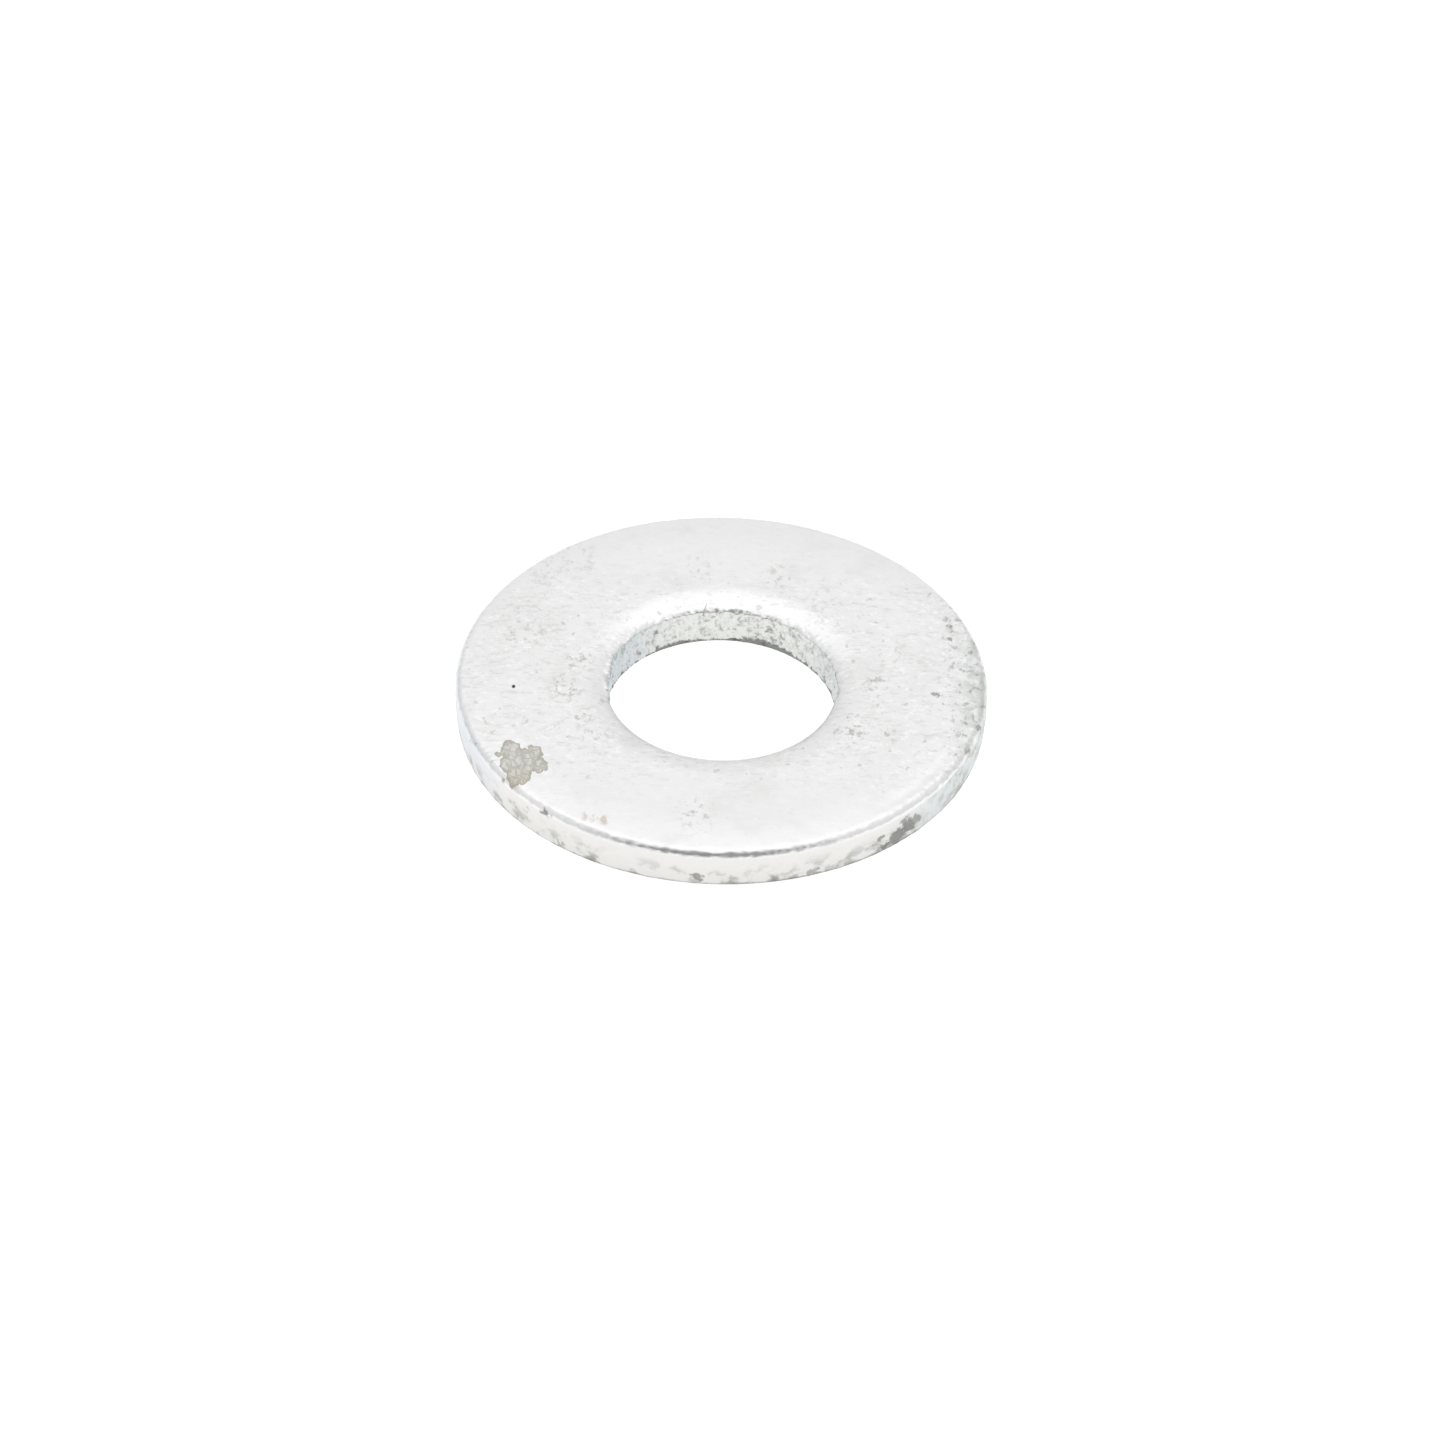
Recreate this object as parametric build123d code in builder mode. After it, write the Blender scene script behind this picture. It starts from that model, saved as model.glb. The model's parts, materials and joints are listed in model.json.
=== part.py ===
from build123d import *

import os
from math import cos, radians, sin

# Flat washer for a 3/8 inch bolt: one stamped steel ring, zinc plated. It lies with its seat on
# z = 0 and its bore along +Z, and all sizes are in millimetres.
#
# A compound die cuts the bore and the rim out of strip in one stroke, so both edges of the top
# face are drawn down into a soft die roll. Under each roll stands a straight burnished land, and
# under that a band that broke away across the die gap, down to the seat.

# Overall sizes: 1 inch across, from 14 gauge strip. The bore is at the small end of the
# tolerance on a 7/16 inch hole, as one cut by a worn punch and then plated is.
outer_diameter = 25.4
bore_diameter = 11.0
thickness = 2.11

# Die rolls: how far in from its edge each one starts, and how far it has sunk at the wall. The
# rim's roll is a long shallow sag that turns into the wall round a small radius. The bore's is
# an elliptical arc that sets off level and ends at a sharp lip, after bore_roll_turn degrees.
rim_sag_width = 2.6
rim_sag_depth = 0.1
rim_edge_radius = 0.38
bore_roll_width = 1.55
bore_roll_depth = 0.39
bore_roll_turn = 58

# Heights of the straight burnished lands.
rim_land_height = 0.62
bore_land_height = 0.75

# Die gap at each edge, by which the broken band leans away from its land at the seat.
rim_die_gap = 0.1
bore_die_gap = 0.05

# Radius that tumbling leaves on the two edges of the seat.
seat_edge_radius = 0.08

# Heights and radii that follow from the sizes above.
rim_radius = outer_diameter / 2
bore_radius = bore_diameter / 2
rim_corner = thickness - rim_sag_depth
bore_roll_foot = thickness - bore_roll_depth
rim_land_foot = rim_corner - rim_edge_radius - rim_land_height
bore_land_foot = bore_roll_foot - bore_land_height
bore_ellipse_width = bore_roll_width / sin(radians(bore_roll_turn))
bore_ellipse_height = bore_roll_depth / (1 - cos(radians(bore_roll_turn)))

with BuildPart() as flat_washer:
    # Half of the ring's section, right of the axis, drawn anticlockwise from the seat.
    with BuildSketch(Plane.XZ) as section:
        with BuildLine() as outline:
            seat = Line(
                (bore_radius + bore_die_gap, 0),
                (rim_radius - rim_die_gap, 0),
            )
            rim_break = Line(seat @ 1, (rim_radius, rim_land_foot))
            rim_land = Line(rim_break @ 1, (rim_radius, rim_corner))
            rim_sag = TangentArc(
                (rim_radius - rim_sag_width, thickness),
                (rim_radius, rim_corner),
                tangent=(1, 0),
            )
            bore_roll = EllipticalCenterArc(
                (bore_radius + bore_roll_width, thickness - bore_ellipse_height),
                bore_ellipse_width,
                bore_ellipse_height,
                start_angle=90,
                arc_size=bore_roll_turn,
            )
            top_face = Line(rim_sag @ 0, bore_roll @ 0)
            bore_land = Line(bore_roll @ 1, (bore_radius, bore_land_foot))
            bore_break = Line(bore_land @ 1, seat @ 0)
        make_face()

        # The corner between the sag and the land is the highest of the points on the rim. The
        # sketch's own Y axis runs up the section.
        rim_points = section.vertices().group_by(Axis.X)[-1]
        fillet(rim_points.sort_by(Axis.Y)[-1], radius=rim_edge_radius)
    revolve(axis=Axis.Z)

    # The seat is the lower of the two flat faces, and tumbling eases both of its edges.
    seat_face = flat_washer.faces().filter_by(GeomType.PLANE).sort_by(Axis.Z)[0]
    fillet(seat_face.edges(), radius=seat_edge_radius)

flat_washer.part.label = "flat_washer"

os.makedirs("parts", exist_ok=True)
export_step(flat_washer.part, "parts/flat_washer.step")
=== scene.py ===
import json
import math

import bpy
from mathutils import Matrix, Vector


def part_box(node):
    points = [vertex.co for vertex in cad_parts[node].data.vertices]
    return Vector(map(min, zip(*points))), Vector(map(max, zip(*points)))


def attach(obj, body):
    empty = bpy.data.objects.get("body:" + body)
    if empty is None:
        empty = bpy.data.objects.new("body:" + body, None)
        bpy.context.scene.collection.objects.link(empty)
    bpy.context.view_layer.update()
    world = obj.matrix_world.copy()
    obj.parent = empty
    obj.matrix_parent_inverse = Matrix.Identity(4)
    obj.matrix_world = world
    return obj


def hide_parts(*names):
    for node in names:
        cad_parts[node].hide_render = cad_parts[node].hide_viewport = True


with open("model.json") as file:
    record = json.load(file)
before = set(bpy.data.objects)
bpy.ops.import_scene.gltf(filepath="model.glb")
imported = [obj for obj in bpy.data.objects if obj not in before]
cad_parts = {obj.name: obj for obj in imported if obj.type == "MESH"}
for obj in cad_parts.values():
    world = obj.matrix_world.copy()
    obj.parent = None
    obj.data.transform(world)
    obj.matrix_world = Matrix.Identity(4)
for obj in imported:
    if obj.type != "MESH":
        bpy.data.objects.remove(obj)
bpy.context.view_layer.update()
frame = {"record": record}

# ---------------------------------------------------------------------------------------------
# Camera. A long lens on a tripod, looking down on the washer at forty degrees and very slightly
# tipped to one side, so the ring shows its top, its front wall and the back of its bore.

top_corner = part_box("flat_washer")[1]
rim_radius = top_corner.x
thickness = top_corner.z

camera_distance = 45 * rim_radius
camera_elevation = math.radians(39.85)
camera_roll = math.radians(1.38)
camera_aside = 0.0075 * rim_radius
camera_below = 0.0339 * rim_radius
lens_length = 297.7
sensor_width = 36
nearest_seen = 0.01
farthest_seen = 20

bpy.ops.object.select_all(action="DESELECT")
bpy.ops.object.camera_add()
camera = bpy.context.object
camera.name = "camera"
camera.data.lens = lens_length
camera.data.sensor_width = sensor_width
camera.data.clip_start = nearest_seen
camera.data.clip_end = farthest_seen
tilt = Matrix.Rotation(math.pi / 2 - camera_elevation, 4, "X")
aim = Vector((camera_aside, -camera_below, camera_distance))
camera.matrix_world = tilt @ Matrix.Translation(aim) @ Matrix.Rotation(camera_roll, 4, "Z")
bpy.context.scene.camera = camera

# ---------------------------------------------------------------------------------------------
# Floor. A light table: a sheet of opal acrylic lit from below, far wider than the view. It
# fills the background with white and throws light up on to the washer's walls.

floor_width = 6.0
ACRYLIC_WHITE = "BEBEBE"
table_glow = 0.8
table_roughness = 0.9
white = (1, 1, 1, 1)


def linear(hex_colour):
    """An sRGB hex colour as the linear colour that a shader's socket takes."""
    channels = [int(hex_colour[i : i + 2], 16) / 255 for i in (0, 2, 4)]
    curve = [c / 12.92 if c <= 0.04045 else ((c + 0.055) / 1.055) ** 2.4 for c in channels]
    return (*curve, 1.0)


def add_node(tree, kind, inputs=None, **settings):
    """A node of that kind with its settings, each input given a value or linked to a source."""
    node = tree.nodes.new(kind)
    for name, value in settings.items():
        setattr(node, name, value)
    for socket, source in (inputs or {}).items():
        if isinstance(source, bpy.types.Node):
            source = next(output for output in source.outputs if output.enabled)
        if isinstance(source, bpy.types.NodeSocket):
            tree.links.new(source, node.inputs[socket])
        else:
            node.inputs[socket].default_value = source
    return node


bpy.ops.object.select_all(action="DESELECT")
bpy.ops.mesh.primitive_plane_add(size=floor_width, location=(0, 0, 0))
floor = bpy.context.object
floor.name = "floor"
acrylic = bpy.data.materials.new("opal_acrylic")
acrylic.use_nodes = True
acrylic_shader = acrylic.node_tree.nodes["Principled BSDF"]
acrylic_shader.inputs["Base Color"].default_value = linear(ACRYLIC_WHITE)
acrylic_shader.inputs["Roughness"].default_value = table_roughness
acrylic_shader.inputs["Emission Color"].default_value = white
acrylic_shader.inputs["Emission Strength"].default_value = table_glow
floor.data.materials.append(acrylic)

# ---------------------------------------------------------------------------------------------
# Light. A white tent all round with a softbox overhead, a little dimmer low down at its sides.
# The camera looks in through a dark gap, which the plated edge shows as a thin dark line.

tent_strength = 1.03
gap_strength = 0.3
gap_middle = (-0.05, -0.84, 0.545)
gap_reach = (0.25, 0.75)
gap_squeeze = (0.88, 1, 1)
side_shade = 0.86
side_reach = (0.2, 0.5)
side_heights = (0.55, 0.2)
softbox_size = 1.2
softbox_place = (0, 0.3, 0.9)
softbox_power = 1.35

tent = bpy.data.worlds.new("white_tent")
bpy.context.scene.world = tent
tent.use_nodes = True
cloth = tent.node_tree
direction = add_node(cloth, "ShaderNodeTexCoord").outputs["Generated"]
squeezed = add_node(
    cloth, "ShaderNodeVectorMath", {0: direction, 1: gap_squeeze}, operation="MULTIPLY"
)
from_gap = add_node(
    cloth, "ShaderNodeVectorMath", {0: squeezed, 1: gap_middle}, operation="DISTANCE"
).outputs["Value"]
glow = add_node(
    cloth,
    "ShaderNodeMapRange",
    {
        "Value": from_gap,
        "From Min": gap_reach[0],
        "From Max": gap_reach[1],
        "To Min": gap_strength,
        "To Max": tent_strength,
    },
    interpolation_type="SMOOTHSTEP",
)
compass = add_node(cloth, "ShaderNodeSeparateXYZ", {0: direction})
sideways = add_node(cloth, "ShaderNodeMath", {0: compass.outputs["X"]}, operation="ABSOLUTE")
to_side = add_node(
    cloth,
    "ShaderNodeMapRange",
    {"Value": sideways, "From Min": side_reach[0], "From Max": side_reach[1]},
    interpolation_type="SMOOTHSTEP",
)
low_down = add_node(
    cloth,
    "ShaderNodeMapRange",
    {
        "Value": compass.outputs["Z"],
        "From Min": side_heights[0],
        "From Max": side_heights[1],
    },
    interpolation_type="SMOOTHSTEP",
)
low_side = add_node(cloth, "ShaderNodeMath", {0: to_side, 1: low_down}, operation="MULTIPLY")
shade = add_node(
    cloth, "ShaderNodeMath", {0: low_side, 1: side_shade - 1, 2: 1.0}, operation="MULTIPLY_ADD"
)
strength = add_node(cloth, "ShaderNodeMath", {0: glow, 1: shade}, operation="MULTIPLY")
cloth.links.new(strength.outputs[0], cloth.nodes["Background"].inputs["Strength"])
cloth.nodes["Background"].inputs["Color"].default_value = white

bpy.ops.object.select_all(action="DESELECT")
bpy.ops.object.light_add(type="AREA", location=softbox_place)
softbox = bpy.context.object
softbox.name = "softbox"
softbox.data.shape = "DISK"
softbox.data.size = softbox_size
softbox.data.energy = softbox_power
bpy.context.scene.view_settings.view_transform = "Standard"

# ---------------------------------------------------------------------------------------------
# Washer. One ring of mild steel strip, cut by a compound die in one stroke and barrel plated
# with zinc. The cut draws both top edges down into rolls and tears the walls below them, and a
# little rust and a dried spot of liquid have marked it since.

# Sizes of the section.
MM = 0.001
bore_mount = next(m for m in frame["record"]["mounts"] if m["name"] == "bore")
bore_radius = bore_mount["dims"]["r_mm"] * MM
rim_sag_width = 2.6 * MM
rim_sag_depth = 0.1 * MM
rim_edge_radius = 0.38 * MM
rim_land_height = 0.62 * MM
rim_die_gap = 0.1 * MM
bore_roll_width = 1.55 * MM
bore_roll_depth = 0.39 * MM
bore_roll_turn = math.radians(58)
bore_burr_width = 0.05 * MM
bore_burr_height = 0.5 * MM
seat_edge_radius = 0.08 * MM
rim_wall_top = thickness - rim_sag_depth - rim_edge_radius
bore_wall_top = thickness - bore_roll_depth

# Rings of points along the section's runs, and steps round the bore's axis.
seat_rings = 4
corner_rings = 3
rim_wall_rings = 15
rim_edge_rings = 12
rim_sag_rings = 14
face_rings = 10
bore_roll_rings = 15
bore_wall_rings = 34
turns = 820


def section_points():
    """The section once round, as radius and height: seat, rim wall, rim roll, face and bore."""
    quarter = math.pi / 2
    rim_foot = rim_radius - rim_die_gap
    bore_foot = bore_radius - bore_burr_width
    points = []
    for i in range(seat_rings):
        seat_start = bore_foot + seat_edge_radius
        seat_end = rim_foot - seat_edge_radius
        points.append((seat_start + (seat_end - seat_start) * i / seat_rings, 0))
    for i in range(corner_rings):
        turn = quarter * i / corner_rings
        across = rim_foot - seat_edge_radius * (1 - math.sin(turn))
        points.append((across, seat_edge_radius * (1 - math.cos(turn))))
    for i in range(rim_wall_rings):
        height = seat_edge_radius + (rim_wall_top - seat_edge_radius) * i / rim_wall_rings
        lean = max(0, 1 - height / (rim_wall_top - rim_land_height))
        points.append((rim_radius - rim_die_gap * lean, height))
    for i in range(rim_edge_rings):
        turn = quarter * i / rim_edge_rings
        inward = rim_edge_radius * (1 - math.cos(turn))
        sag = rim_sag_depth * (1 - inward / rim_sag_width) ** 2
        drop = rim_edge_radius * (1 - math.sin(turn))
        points.append((rim_radius - inward, thickness - sag - drop))
    for i in range(rim_sag_rings):
        inward = rim_edge_radius + (rim_sag_width - rim_edge_radius) * i / rim_sag_rings
        sag = rim_sag_depth * (1 - inward / rim_sag_width) ** 2
        points.append((rim_radius - inward, thickness - sag))
    for i in range(face_rings):
        face_start = rim_radius - rim_sag_width
        face_end = bore_radius + bore_roll_width
        points.append((face_start + (face_end - face_start) * i / face_rings, thickness))
    for i in range(bore_roll_rings):
        turn = bore_roll_turn * i / bore_roll_rings
        across = bore_roll_width * (1 - math.sin(turn) / math.sin(bore_roll_turn))
        drop = bore_roll_depth * (1 - math.cos(turn)) / (1 - math.cos(bore_roll_turn))
        points.append((bore_radius + across, thickness - drop))
    for i in range(bore_wall_rings):
        height = bore_wall_top + (seat_edge_radius - bore_wall_top) * i / bore_wall_rings
        burr = max(0, 1 - height / bore_burr_height)
        points.append((bore_radius - bore_burr_width * burr, height))
    for i in range(corner_rings):
        turn = quarter * i / corner_rings
        across = bore_foot + seat_edge_radius * (1 - math.cos(turn))
        points.append((across, seat_edge_radius * (1 - math.sin(turn))))
    return points


section = section_points()
bpy.ops.object.select_all(action="DESELECT")
bpy.ops.mesh.primitive_circle_add(vertices=3, radius=MM, location=(0, 0, 0))
washer = bpy.context.object
washer.name = "washer"
bpy.ops.object.mode_set(mode="EDIT")
bpy.ops.mesh.select_all(action="SELECT")
bpy.ops.mesh.merge(type="CENTER")
bpy.ops.transform.translate(value=(section[0][0], 0, section[0][1]))
for here, there in zip(section, section[1:] + section[:1]):
    step = (there[0] - here[0], 0, there[1] - here[1])
    bpy.ops.mesh.extrude_vertices_move(TRANSFORM_OT_translate={"value": step})
bpy.ops.mesh.select_all(action="SELECT")
bpy.ops.mesh.remove_doubles(threshold=MM / 1000)
bpy.ops.mesh.select_all(action="SELECT")
bpy.ops.mesh.spin(steps=turns, angle=math.tau, center=(0, 0, 0), axis=(0, 0, 1))
bpy.ops.mesh.select_all(action="SELECT")
bpy.ops.mesh.remove_doubles(threshold=MM / 1000)
bpy.ops.mesh.normals_make_consistent(inside=False)
bpy.ops.object.mode_set(mode="OBJECT")
bpy.ops.object.shade_smooth()

# Relief that the die and the plating barrel leave: the punch tears the bore's wall into lumps
# and crevices, the rim's wall breaks away below its land, and tumbling dents the edges.
gouge_middle = Vector((8.82, -9.13, 0.85)) * MM
gouge_reach = 1.3 * MM


def ramp(value, start, end):
    """A smooth rise from 0 at start to 1 at end, or a fall where start is the larger."""
    share = min(1.0, max(0.0, (value - start) / (end - start)))
    return share * share * (3 - 2 * share)


def on_bore_wall(point):
    """1 on the bore's wall, fading out at the seat and over its upper edge, sooner in front."""
    near = ramp(math.hypot(point.x, point.y), bore_radius + 0.25 * MM, bore_radius + 0.05 * MM)
    top = bore_wall_top - 0.3 * MM * ramp(point.y, 0, -3 * MM)
    below = ramp(point.z, top + 0.14 * MM, top - 0.02 * MM)
    return near * below * ramp(point.z, 0, 0.06 * MM)


def on_bore_lip(point):
    """1 along the corner where the bore's roll turns into its wall, at the back."""
    near = ramp(math.hypot(point.x, point.y), bore_radius + 0.6 * MM, bore_radius + 0.2 * MM)
    behind = ramp(point.y, -2 * MM, 1 * MM)
    return near * behind * ramp(abs(point.z - bore_wall_top), 0.25 * MM, 0.1 * MM)


def on_left_of_bore(point):
    """1 at the left of the bore's wall, where a burr stands into the hole."""
    bearing = abs(math.degrees(math.atan2(point.y, -point.x)))
    return on_bore_wall(point) * ramp(bearing, 24, 6) * ramp(point.z, 0.1 * MM, 0.3 * MM)


def on_rim_wall(point):
    """1 on the rim's wall, fading out on the roll and at the seat."""
    near = ramp(math.hypot(point.x, point.y), rim_radius - 0.4 * MM, rim_radius - 0.15 * MM)
    below = ramp(point.z, rim_wall_top + 0.1 * MM, rim_wall_top - 0.1 * MM)
    return near * below * ramp(point.z, 0, 0.06 * MM)


def on_broken_band(point):
    """1 on the lower part of the rim's wall, where the steel broke away."""
    band_top = rim_wall_top - rim_land_height
    return on_rim_wall(point) * ramp(point.z, band_top + 0.2 * MM, band_top - 0.3 * MM)


def on_rim_edge(point):
    """1 where the rim's roll bends hardest."""
    near = ramp(math.hypot(point.x, point.y), rim_radius - 0.6 * MM, rim_radius - 0.2 * MM)
    return near * ramp(point.z, rim_wall_top - 0.1 * MM, rim_wall_top + 0.15 * MM)


def on_top(point):
    """1 on the face and both rolls, fading out down the walls."""
    return ramp(point.z, thickness - 0.45 * MM, thickness - 0.2 * MM)


def on_crease(point):
    """1 along a soft crease in the rim's roll, to the right of the front."""
    across = abs(math.hypot(point.x, point.y) - (rim_radius - 0.75 * MM))
    along = abs(math.degrees(math.atan2(point.y, point.x)) + 37)
    return on_top(point) * ramp(across, 0.35 * MM, 0) * ramp(along, 17, 6)


def on_worn_side(point):
    """1 on the side of the rim's roll that has rubbed against things."""
    return on_top(point) * ramp(point.x, 10.2 * MM, 11.6 * MM)


def in_gouge(point):
    """1 in the middle of the gouge on the rim's wall."""
    return on_rim_wall(point) * ramp((point - gouge_middle).length, gouge_reach, 0.3 * MM)


def relief(name, where, grain, height, depth=1, noise="SOFT_NOISE", middle=0.5):
    """Raises and lowers the ring by up to half of height, in lumps of that size, all in mm."""
    group = washer.vertex_groups.new(name=name)
    for vertex in washer.data.vertices:
        weight = where(vertex.co)
        if weight > 0:
            group.add([vertex.index], weight, "REPLACE")
    lumps = bpy.data.textures.new(name, "CLOUDS")
    lumps.noise_scale = 1.0
    lumps.noise_depth = depth
    lumps.noise_type = noise
    bpy.ops.object.empty_add(location=(0, 0, 0))
    lump_size = bpy.context.object
    lump_size.scale = [size * MM for size in grain]
    bpy.context.view_layer.update()
    bpy.ops.object.select_all(action="DESELECT")
    washer.select_set(True)
    bpy.context.view_layer.objects.active = washer
    bpy.ops.object.modifier_add(type="DISPLACE")
    displace = washer.modifiers[-1]
    displace.texture = lumps
    displace.texture_coords = "OBJECT"
    displace.texture_coords_object = lump_size
    displace.vertex_group = name
    displace.mid_level = middle
    displace.strength = height * MM
    bpy.ops.object.modifier_apply(modifier=displace.name)
    bpy.data.objects.remove(lump_size)


relief("bore_lumps", on_bore_wall, (0.36, 0.36, 0.42), 0.16, depth=2)
relief("bore_crevices", on_bore_wall, (0.2, 0.2, 0.26), 0.09, noise="HARD_NOISE", middle=0.7)
relief("bore_lip", on_bore_lip, (0.22, 0.22, 0.22), 0.07, depth=2)
relief("bore_left_burr", on_left_of_bore, (0.9, 0.9, 0.9), 0.3, middle=0.0)
relief("rim_break", on_broken_band, (0.6, 0.6, 0.4), 0.06, depth=2)
relief("rim_drag", on_rim_wall, (0.3, 0.3, 1.6), 0.016)
relief("rim_nicks", on_rim_edge, (0.22, 0.22, 0.22), 0.06, depth=2)
relief("rim_gouge", in_gouge, (0.3, 0.3, 0.25), -0.22, depth=2, middle=0.3)
relief("rim_crease", on_crease, (1.5, 1.5, 1.5), 0.05, middle=1.0)
relief("rim_wear", on_worn_side, (0.4, 0.4, 0.4), 0.035, depth=2)
relief("face_swell", on_top, (3.5, 3.5, 3.5), 0.024)
relief("face_dimples", on_top, (0.7, 0.5, 0.7), 0.007)

# Zinc plate, from a barrel line with a clear passivate. To the eye it is a pale grey metal with
# a soft sheen, finely mottled by the strip's rolling and the tumbling, freckled where the plate
# is thin, and dull and pitted on the torn walls. Painted shade and painted shadow darken the
# bore's crevices, the foot of the bore's wall and the seat of the rim's wall. A painted dark line
# deepens the reflection along the front of the rim's bend, and a bluish painted shade darkens
# the bend's left end.
ZINC = "E2E2E2"
ZINC_DULL = "D2D3D1"
ZINC_BRIGHT = "EBEBEB"
FRECKLE_AND_REFLECTION_GREY = "ADADAA"
SPECK = "999793"
PINHOLE = "343434"
STAIN = "D0CFCC"
STAIN_EDGE = "ADAAA0"
STAIN_RUSTY = "CEC6B9"
RUST = "BFB0A5"
WORN = "B4B9B5"
RIM_WALL = "DCDBD9"
RIM_BLOTCH = "A9ABA4"
RIM_LEFT_TINT_AND_SHADE = "D3D6D9"
RIM_RIGHT = "CED3D4"
PIT_GREY_AND_SEAT_SHADOW = "8E908A"
GOUGE = "7B7C78"
BORE_WALL = "DFE0DD"
BORE_CREVICE_SHADE = "9A9E98"
BORE_BLUE = "C5CCD0"
BORE_FOOT_SHADOW = "80827D"

plate = bpy.data.materials.new("zinc_plate_barrel_plated")
plate.use_nodes = True
zinc = plate.node_tree
zinc_shader = zinc.nodes["Principled BSDF"]
in_metres = add_node(zinc, "ShaderNodeTexCoord").outputs["Object"]
per_metre = 1000
drawn_out = 0.64
in_space = (per_metre, per_metre, per_metre)
in_plan = (per_metre, per_metre, 0)
place = add_node(zinc, "ShaderNodeMapping", {"Vector": in_metres, "Scale": in_space})
plan = add_node(zinc, "ShaderNodeMapping", {"Vector": in_metres, "Scale": in_plan})
radius = add_node(zinc, "ShaderNodeVectorMath", {0: plan}, operation="LENGTH").outputs["Value"]
split = add_node(zinc, "ShaderNodeSeparateXYZ", {0: place})
aside = split.outputs["X"]
away = split.outputs["Y"]
height = split.outputs["Z"]


def overlap(*parts):
    """The product of the parts: masks, or values with the numbers where they count 0 and 1."""
    product = 1.0
    for part in parts:
        if isinstance(part, tuple):
            value, start, end = part
            part = add_node(
                zinc,
                "ShaderNodeMapRange",
                {"Value": value, "From Min": start, "From Max": end},
                interpolation_type="SMOOTHSTEP",
            )
        product = add_node(zinc, "ShaderNodeMath", {0: product, 1: part}, operation="MULTIPLY")
    return product


def lay(colour, above, strength, *parts):
    """The colour with another laid over it at that strength, where all the parts overlap."""
    inputs = {0: overlap(strength, *parts), 6: colour, 7: linear(above)}
    return add_node(zinc, "ShaderNodeMix", inputs, data_type="RGBA")


def ragged(where, scale, reach):
    """The place pushed about by noise, up to reach in mm, so that a mark's outline is ragged."""
    noise = add_node(zinc, "ShaderNodeTexNoise", {"Vector": where, "Scale": scale, "Detail": 2.0})
    push = add_node(
        zinc,
        "ShaderNodeVectorMath",
        {0: noise.outputs["Color"], 1: (reach, reach, reach), 2: [-reach / 2] * 3},
        operation="MULTIPLY_ADD",
    )
    return add_node(zinc, "ShaderNodeVectorMath", {0: where, 1: push}, operation="ADD")


def spots(where, marks, edge):
    """The strongest of the marks, each a centre, a radius and a strength, softened by edge."""
    strongest = 0.0
    for *centre, size, strength in marks:
        off = add_node(zinc, "ShaderNodeVectorMath", {0: where, 1: centre}, operation="DISTANCE")
        spot = overlap(strength, (off.outputs["Value"], size + edge, max(size - edge, 0.0)))
        strongest = add_node(zinc, "ShaderNodeMath", {0: strongest, 1: spot}, operation="MAXIMUM")
    return strongest


def on_flat(marks):
    """Marks given by X and Y in mm, as places on the flat, drawn out from front to back."""
    return [(x, y * drawn_out, 0.0, size, strength) for x, y, size, strength in marks]


def round_axis(marks, reach):
    """Marks given by bearing in degrees and height, as places at that radius in mm."""
    placed = []
    for bearing, up, size, strength in marks:
        turn = math.radians(bearing)
        placed.append((reach * math.cos(turn), reach * math.sin(turn), up, size, strength))
    return placed


# Noise for each pattern: features to the mm along X, Y and Z, detail, roughness, shift and turn.
mottles = {
    "clouds": ((0.35, 0.35, 0.35), 3.0, 0.55, 0.0, 0),
    "strip_marks": ((1.6, 4.5, 4.5), 3.0, 0.6, 0.0, -5),
    "pips": ((2.6, 3.4, 3.4), 3.0, 0.7, 7.3, 0),
    "freckles": ((4.0, 3.2, 4.0), 2.0, 0.6, 3.1, 0),
    "strays": ((2.0, 1.7, 2.0), 2.0, 0.5, 11.9, 0),
    "wear": ((1.5, 1.2, 1.5), 5.0, 0.7, 5.7, 0),
    "pits": ((3.0, 2.4, 3.0), 3.0, 0.6, 4.6, 0),
    "blotches": ((1.0, 1.0, 1.3), 4.0, 0.6, 2.2, 0),
    "dirt": ((3.5, 3.5, 3.5), 3.0, 0.6, 9.4, 0),
    "crevices": ((3.2, 3.2, 2.6), 3.0, 0.6, 1.4, 0),
}
for name, (scale, detail, roughness, shift, turn) in mottles.items():
    mapped = add_node(
        zinc,
        "ShaderNodeMapping",
        {
            "Vector": place,
            "Location": (shift, shift, shift),
            "Rotation": (0, 0, math.radians(turn)),
            "Scale": scale,
        },
    )
    inputs = {"Vector": mapped, "Scale": 1.0, "Detail": detail, "Roughness": roughness}
    mottles[name] = add_node(zinc, "ShaderNodeTexNoise", inputs)
wall_crevices = mottles["crevices"].outputs[0]

# The face's own grain: soft clouds, short marks along the strip, and fine bright and dull pips.
# All but the clouds are fainter towards the front and the back.
front_or_back = add_node(zinc, "ShaderNodeMath", {0: away}, operation="ABSOLUTE")
grain = add_node(
    zinc,
    "ShaderNodeMapRange",
    {"Value": front_or_back, "From Min": 5.5, "From Max": 9.5, "To Min": 1.0, "To Max": 0.25},
    interpolation_type="SMOOTHSTEP",
)
colour = lay(linear(ZINC), ZINC_DULL, 0.5, (mottles["clouds"], 0.5, 0.8))
colour = lay(colour, ZINC_DULL, 1.0, grain, (mottles["strip_marks"], 0.52, 0.72))
colour = lay(colour, ZINC_BRIGHT, 1.0, grain, (mottles["pips"], 0.47, 0.3))
colour = lay(colour, ZINC_DULL, 1.0, grain, (mottles["pips"], 0.55, 0.75))

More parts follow.
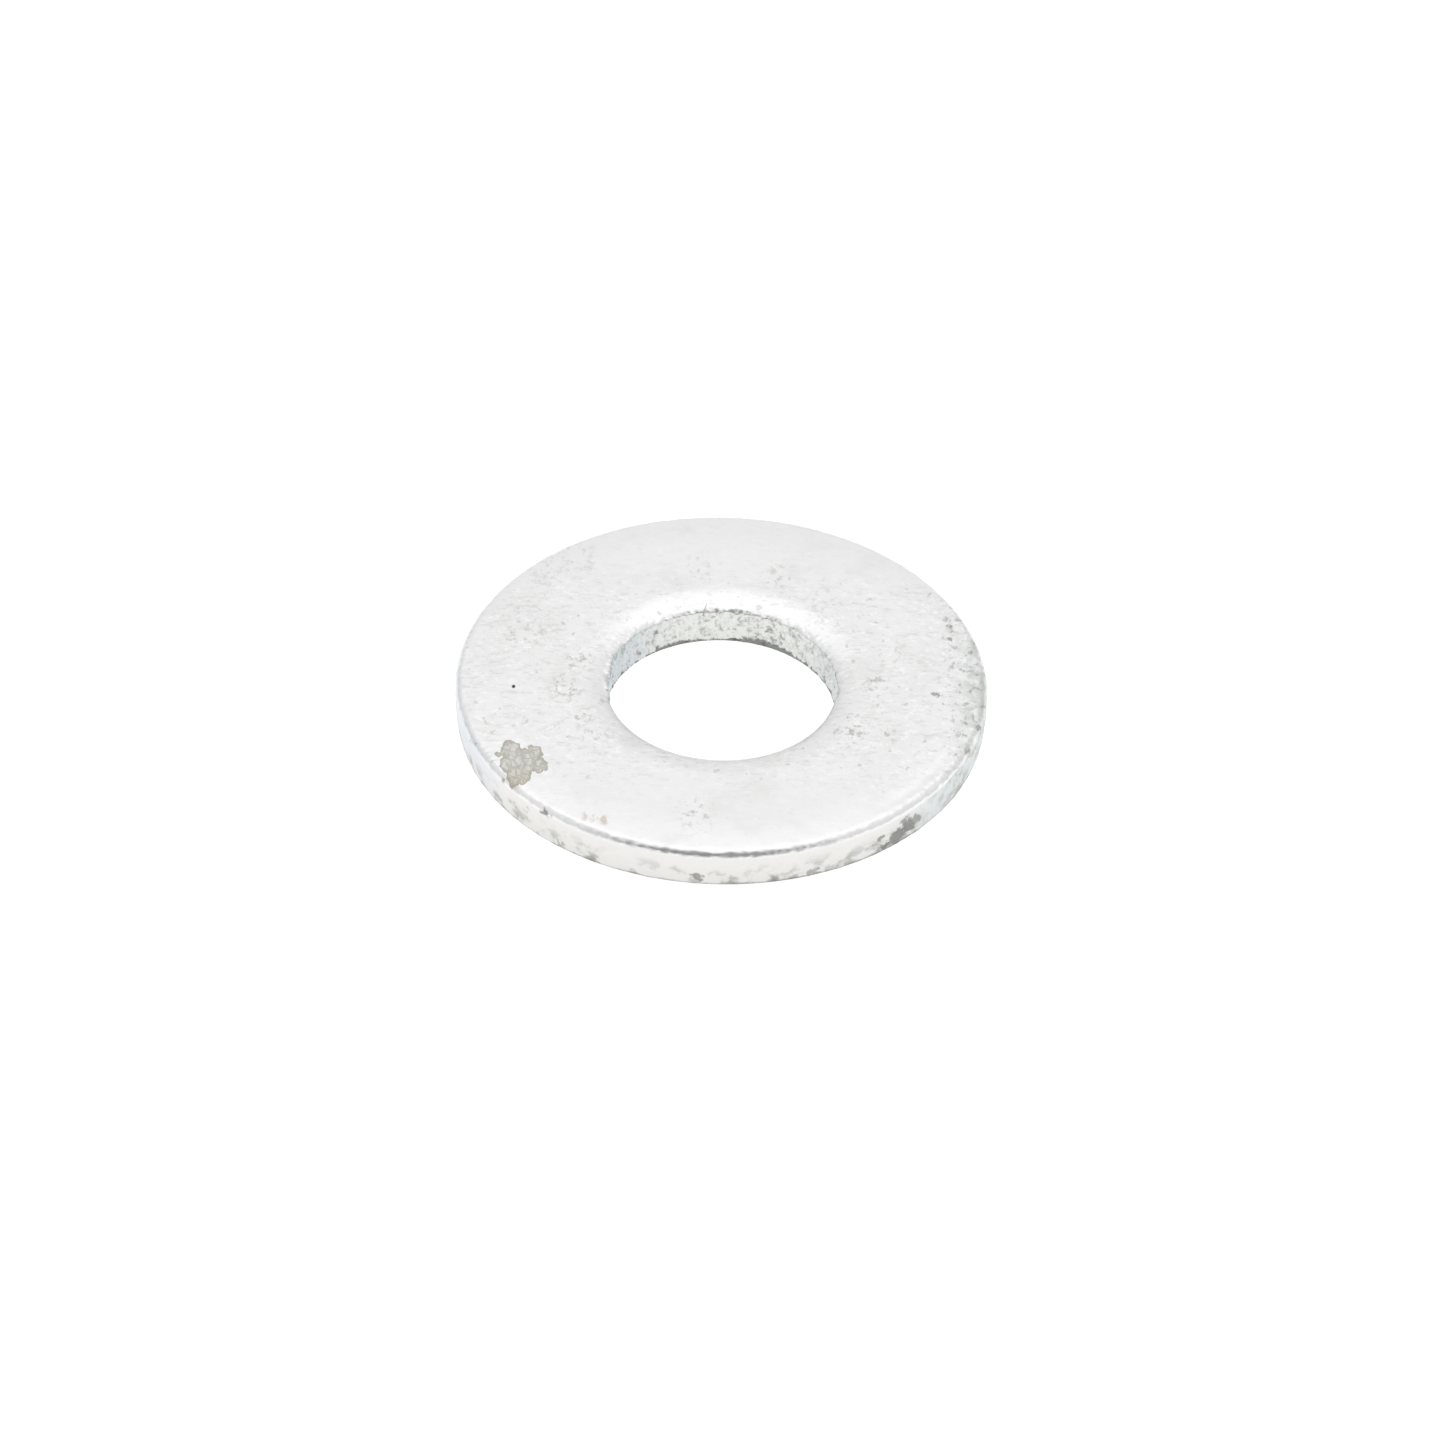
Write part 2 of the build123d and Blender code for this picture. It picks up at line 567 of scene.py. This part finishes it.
# Freckles where the plate is thin. Marks on the flat are drawn out from front to back.
in_drawn_plan = (per_metre, per_metre * drawn_out, 0)
flat_place = add_node(zinc, "ShaderNodeMapping", {"Vector": in_metres, "Scale": in_drawn_plan})
top_side = overlap((height, 1.62, 1.82))
freckled = [
    (-6.9, 1.2, 0.7, 0.9),
    (-7.4, -0.9, 0.7, 0.9),
    (-5.9, -4.4, 0.6, 0.8),
    (-6.5, -3.0, 0.5, 0.7),
    (7.4, 0.0, 0.55, 1.0),
    (8.1, 2.3, 0.5, 0.7),
    (7.5, -1.4, 0.5, 0.6),
    (6.2, -3.5, 0.8, 1.0),
    (7.9, -3.8, 0.4, 0.7),
    (2.7, 7.9, 0.6, 0.7),
    (-1.2, 8.5, 0.6, 0.5),
    (-7.2, 8.8, 0.9, 0.45),
    (-8.5, 7.6, 0.9, 0.4),
    (-1.1, -10.0, 0.8, 0.7),
    (-9.4, 3.6, 1.2, 0.5),
    (5.0, 5.6, 1.0, 0.4),
]
thin_plate = spots(flat_place, on_flat(freckled), 0.5)
colour = lay(colour, FRECKLE_AND_REFLECTION_GREY, 0.9, top_side, thin_plate, (mottles["freckles"], 0.5, 0.7))
colour = lay(colour, FRECKLE_AND_REFLECTION_GREY, 0.5, grain, (mottles["strays"], 0.66, 0.74))

# Specks, each by itself: pinholes, scuffs and barrel dirt on the face.
specks = [
    (10.1, -0.7, 0.11, 0.9),
    (10.3, -0.8, 0.12, 0.9),
    (10.5, -0.8, 0.07, 0.6),
    (10.6, -1.5, 0.07, 0.5),
    (10.9, 4.5, 0.13, 0.9),
    (11.0, 4.0, 0.07, 0.8),
    (10.9, 3.5, 0.13, 0.9),
    (10.6, 3.5, 0.08, 0.6),
    (10.7, 5.0, 0.13, 0.5),
    (9.9, 6.8, 0.12, 0.4),
    (7.4, 0.2, 0.14, 0.5),
    (7.2, -0.5, 0.10, 0.6),
    (7.9, -3.8, 0.08, 0.5),
    (8.9, -6.2, 0.09, 0.4),
    (11.3, -3.6, 0.12, 0.5),
    (11.7, -2.4, 0.10, 0.6),
    (12.0, -1.6, 0.10, 0.6),
    (12.2, 0.9, 0.10, 0.6),
    (-11.1, -3.6, 0.07, 0.5),
    (-9.8, -3.8, 0.06, 0.4),
    (-9.2, -3.5, 0.07, 0.4),
    (-7.6, -6.4, 0.07, 0.4),
    (-6.8, -3.1, 0.09, 0.5),
    (-11.7, -2.1, 0.07, 0.5),
]
specked = spots(ragged(flat_place, 5.0, 0.5), on_flat(specks), 0.06)
colour = lay(colour, SPECK, 1.0, top_side, specked)
pinhole = spots(flat_place, on_flat([(-9.9, -0.9, 0.08, 1.0)]), 0.03)
colour = lay(colour, PINHOLE, 1.0, top_side, pinhole)

# The worn side of the rim's roll, where the washer has rubbed: greenish grey, patchy, pitted.
worn_side = overlap((aside, 10.6, 12.2), (height, 0.9, 1.5))
colour = lay(colour, WORN, 0.6, worn_side, (mottles["wear"], 0.4, 0.6))
colour = lay(colour, WORN, 0.25, worn_side, (aside, 11.8, 12.6))
pitted = overlap((aside, 10.0, 11.6), (height, 0.9, 1.5), (mottles["pits"], 0.54, 0.68))
colour = lay(colour, PIT_GREY_AND_SEAT_SHADOW, 0.65, pitted)

# A dried spot of liquid, scalloped, darker round its edge and rusty towards the rim.
dried_spot = [
    (-9.45, -6.5, 0.74, 1.0),
    (-9.9, -5.55, 0.46, 1.0),
    (-8.75, -5.75, 0.36, 1.0),
    (-8.5, -6.7, 0.36, 1.0),
    (-9.5, -7.3, 0.56, 1.0),
    (-10.05, -6.6, 0.36, 1.0),
    (-10.5, -5.9, 0.12, 1.0),
    (-10.25, -7.7, 0.10, 1.0),
    (-9.9, -8.25, 0.09, 1.0),
]
stain_depth = spots(ragged(flat_place, 3.0, 0.45), on_flat(dried_spot), 0.2)
stain = overlap(top_side, (stain_depth, 0.42, 0.56))
bubbles = add_node(
    zinc,
    "ShaderNodeTexVoronoi",
    {"Vector": ragged(flat_place, 5.0, 0.25), "Scale": 3.0, "Randomness": 0.9},
    feature="DISTANCE_TO_EDGE",
)
colour = lay(colour, STAIN, 0.85, stain)
colour = lay(colour, STAIN_RUSTY, 0.7, stain, (away, -6.5, -7.8))
colour = lay(colour, STAIN_EDGE, 0.35, stain, (mottles["freckles"], 0.45, 0.6))
colour = lay(colour, STAIN_EDGE, 0.6, stain, (bubbles, 0.14, 0.03))
colour = lay(colour, STAIN_EDGE, 0.8, stain, (stain_depth, 0.98, 0.6))

# Rust coming through at the front of the rim's roll.
rusted = [
    (-6.3, -10.3, 0.13, 0.8),
    (-5.9, -10.4, 0.06, 0.7),
    (-5.4, -10.5, 0.16, 1.0),
    (-9.6, -8.0, 0.20, 0.3),
]
rust = spots(ragged(flat_place, 4.0, 0.6), on_flat(rusted), 0.15)
colour = lay(colour, RUST, 0.9, top_side, rust)

# The rim's wall: blotched where it broke, greyer at its right end, with a painted contact shadow
# along the seat. The roll's bend at its left end has a bluish tint and painted shade.
rim_wall = overlap((radius, 12.4, 12.56), (height, 1.76, 1.6))
colour = lay(colour, RIM_WALL, 1.0, rim_wall)
rim_bend = overlap((radius, 12.3, 12.5), (height, 2.02, 1.9))
# Painted shade, with a bluish tint: the bend of the roll darker at its left end, where it turns
# away.
colour = lay(colour, RIM_LEFT_TINT_AND_SHADE, 1.0, rim_bend, (aside, -9.8, -12.0))
colour = lay(colour, RIM_RIGHT, 1.0, rim_wall, (aside, 7.5, 11.0))
blotches = mottles["blotches"]
colour = lay(colour, RIM_BLOTCH, 0.95, rim_wall, (height, 1.6, 0.3), (blotches, 0.47, 0.67))
colour = lay(colour, RIM_BLOTCH, 0.8, rim_wall, (aside, 8.5, 11.5), (mottles["wear"], 0.45, 0.62))
# Painted contact shadow: darker along the seat of the rim's wall, its top edge broken up by the
# blotches.
seat_shadow_line = add_node(
    zinc, "ShaderNodeMath", {0: blotches, 1: -0.35, 2: height}, operation="MULTIPLY_ADD"
)
colour = lay(colour, PIT_GREY_AND_SEAT_SHADOW, 0.8, rim_wall, (seat_shadow_line, 0.02, -0.12))
rim_marks = [
    (-48, 0.5, 0.50, 1.0),
    (-45, 0.75, 0.50, 1.0),
    (-43, 0.95, 0.38, 0.8),
    (-46, 1.25, 0.26, 0.9),
    (-51, 0.3, 0.30, 1.0),
    (-53, 1.0, 0.17, 0.9),
    (-54, 0.75, 0.12, 0.8),
    (-65, 0.2, 0.30, 0.4),
    (-69, 0.2, 0.28, 0.7),
    (-73, 0.15, 0.26, 0.6),
    (-78, 0.15, 0.26, 0.6),
    (-94, 0.5, 0.24, 0.9),
    (-95, 0.15, 0.28, 0.5),
    (-108, 0.1, 0.24, 0.5),
    (-117, 0.1, 0.24, 0.5),
    (-126, 0.2, 0.28, 0.6),
    (-130, 1.75, 0.20, 1.0),
    (-128, 1.7, 0.06, 0.8),
    (-135, 1.2, 0.08, 0.7),
    (-141, 1.05, 0.07, 0.7),
    (-139, 0.95, 0.07, 0.7),
    (-159, 1.85, 0.12, 0.8),
    (-157, 1.85, 0.10, 0.9),
    (-31, 1.85, 0.08, 0.6),
    (-28, 1.1, 0.10, 0.7),
    (-24, 0.6, 0.16, 0.6),
    (-21, 1.8, 0.18, 0.7),
    (-17, 1.4, 0.18, 0.8),
    (-13, 1.8, 0.20, 0.9),
]
rim_marks = round_axis(rim_marks, rim_radius / MM)
colour = lay(colour, GOUGE, 0.85, spots(ragged(place, 4.0, 0.8), rim_marks, 0.1))

# Painted dark reflection: a thin broken grey line along the sharpest bend of the rim's roll at the
# front, deepening the reflection of the tent's dark gap.
bend = overlap((height, 1.64, 1.76), (height, 2.0, 1.88), (radius, 12.3, 12.42))
colour = lay(colour, FRECKLE_AND_REFLECTION_GREY, 0.3, bend, (away, -9.8, -11.8), (mottles["dirt"], 0.4, 0.62))

# The bore's wall: bluish at its ends, with painted shade in its crevices and deeper parts, and a
# painted shadow under the burr by the seat.
bore_wall = overlap((radius, 5.8, 5.6), (height, 1.77, 1.68))
colour = lay(colour, BORE_WALL, 1.0, bore_wall)
colour = lay(colour, BORE_BLUE, 0.8, bore_wall, (aside, -2.0, -5.2))
colour = lay(colour, BORE_BLUE, 0.4, bore_wall, (aside, 3.4, 5.3))
# Painted shade: darker where the torn wall lies deeper, and in the crevices of its noise.
colour = lay(colour, BORE_CREVICE_SHADE, 0.7, bore_wall, (radius, 5.54, 5.66), (height, 1.7, 1.5))
colour = lay(colour, BORE_CREVICE_SHADE, 0.75, bore_wall, (wall_crevices, 0.54, 0.7))
bore_marks = [
    (138, 1.05, 0.10, 0.8),
    (130, 0.8, 0.12, 0.7),
    (125, 1.2, 0.16, 0.9),
    (101, 0.6, 0.12, 0.6),
    (82, 1.3, 0.12, 0.7),
    (77, 0.8, 0.09, 0.6),
    (73, 1.45, 0.12, 0.7),
    (72, 0.65, 0.12, 0.7),
    (66, 1.1, 0.18, 0.9),
    (63, 0.5, 0.20, 0.7),
    (59, 0.9, 0.18, 0.8),
    (43, 1.0, 0.08, 0.6),
]
bore_marks = round_axis(bore_marks, bore_radius / MM)
colour = lay(colour, GOUGE, 0.85, bore_wall, spots(ragged(place, 4.5, 0.7), bore_marks, 0.1))
# Painted shadow along the foot of the bore's wall under the burr: ragged, and taller at two places
# at the back.
foot_shadow_spread = spots(place, [(2.2, 5.0, 0.0, 1.3, 1.0), (-2.4, 4.9, 0.0, 0.9, 0.6)], 1.2)
foot_shadow_height = add_node(
    zinc, "ShaderNodeMath", {0: foot_shadow_spread, 1: -0.26, 2: height}, operation="MULTIPLY_ADD"
)
foot_shadow_edge = add_node(
    zinc, "ShaderNodeMath", {0: wall_crevices, 1: -0.6, 2: foot_shadow_height}, operation="MULTIPLY_ADD"
)
colour = lay(colour, BORE_FOOT_SHADOW, 0.9, bore_wall, (foot_shadow_edge, -0.17, -0.26))
zinc.links.new(colour.outputs[2], zinc_shader.inputs["Base Color"])

# Gloss is soft on the face, and duller on the torn walls and the dried spot.
face_roughness = 0.32
torn_dulling = 0.12
stain_dulling = 0.25
face_dent_depth = 0.006 * MM
torn_depth = 0.03 * MM
zinc_shader.inputs["Metallic"].default_value = 1.0
torn = add_node(zinc, "ShaderNodeMath", {0: bore_wall, 1: rim_wall}, operation="ADD")
dulled = add_node(
    zinc, "ShaderNodeMath", {0: torn, 1: torn_dulling, 2: face_roughness}, operation="MULTIPLY_ADD"
)
dulled = add_node(
    zinc, "ShaderNodeMath", {0: stain, 1: stain_dulling, 2: dulled}, operation="MULTIPLY_ADD"
)
zinc.links.new(dulled.outputs[0], zinc_shader.inputs["Roughness"])
face_dents = add_node(
    zinc, "ShaderNodeMath", {0: mottles["strip_marks"], 1: mottles["pips"]}, operation="ADD"
)
face_bump = add_node(
    zinc,
    "ShaderNodeBump",
    {"Strength": 1.0, "Distance": face_dent_depth, "Height": overlap(face_dents, grain)},
)
torn_bump = add_node(
    zinc,
    "ShaderNodeBump",
    {"Strength": torn, "Distance": torn_depth, "Height": wall_crevices, "Normal": face_bump},
)
zinc.links.new(torn_bump.outputs[0], zinc_shader.inputs["Normal"])
washer.data.materials.append(plate)

# A sliver of burr that the punch drew up, left standing over the bore's roll at the back.
sliver_radius = 0.05 * MM
sliver_foot = Vector((-0.95, 5.38, 1.62)) * MM
sliver_steps = [(0.02, 0.07, 0.12), (0.04, 0.09, 0.12), (0.05, 0.12, 0.1), (0.04, 0.14, 0.06)]
sliver_taper = 0.72
BURR_TAN = "CFCBBC"
tarnish_roughness = 0.5

bpy.ops.object.select_all(action="DESELECT")
bpy.ops.mesh.primitive_circle_add(
    vertices=8, radius=sliver_radius, fill_type="NGON", location=sliver_foot
)
sliver = bpy.context.object
bpy.ops.object.transform_apply(location=True, rotation=True, scale=True)
bpy.ops.object.mode_set(mode="EDIT")
bpy.ops.mesh.select_all(action="SELECT")
sliver_end = sliver_foot.copy()
for step in sliver_steps:
    step = Vector(step) * MM
    sliver_end += step
    bpy.ops.mesh.extrude_region_move(TRANSFORM_OT_translate={"value": step})
    bpy.ops.transform.resize(value=[sliver_taper] * 3, center_override=sliver_end)
bpy.ops.mesh.select_all(action="SELECT")
bpy.ops.mesh.normals_make_consistent(inside=False)
bpy.ops.object.mode_set(mode="OBJECT")
bpy.ops.object.shade_smooth()

# Bare steel that the plate didn't cover, tarnished to a dull tan.
tarnish = bpy.data.materials.new("steel_burr_tarnished")
tarnish.use_nodes = True
tarnish_shader = tarnish.node_tree.nodes["Principled BSDF"]
tarnish_shader.inputs["Base Color"].default_value = linear(BURR_TAN)
tarnish_shader.inputs["Metallic"].default_value = 1.0
tarnish_shader.inputs["Roughness"].default_value = tarnish_roughness
sliver.data.materials.append(tarnish)
bpy.ops.object.select_all(action="DESELECT")
sliver.select_set(True)
washer.select_set(True)
bpy.context.view_layer.objects.active = washer
bpy.ops.object.join()

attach(washer, "root")
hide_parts("flat_washer")
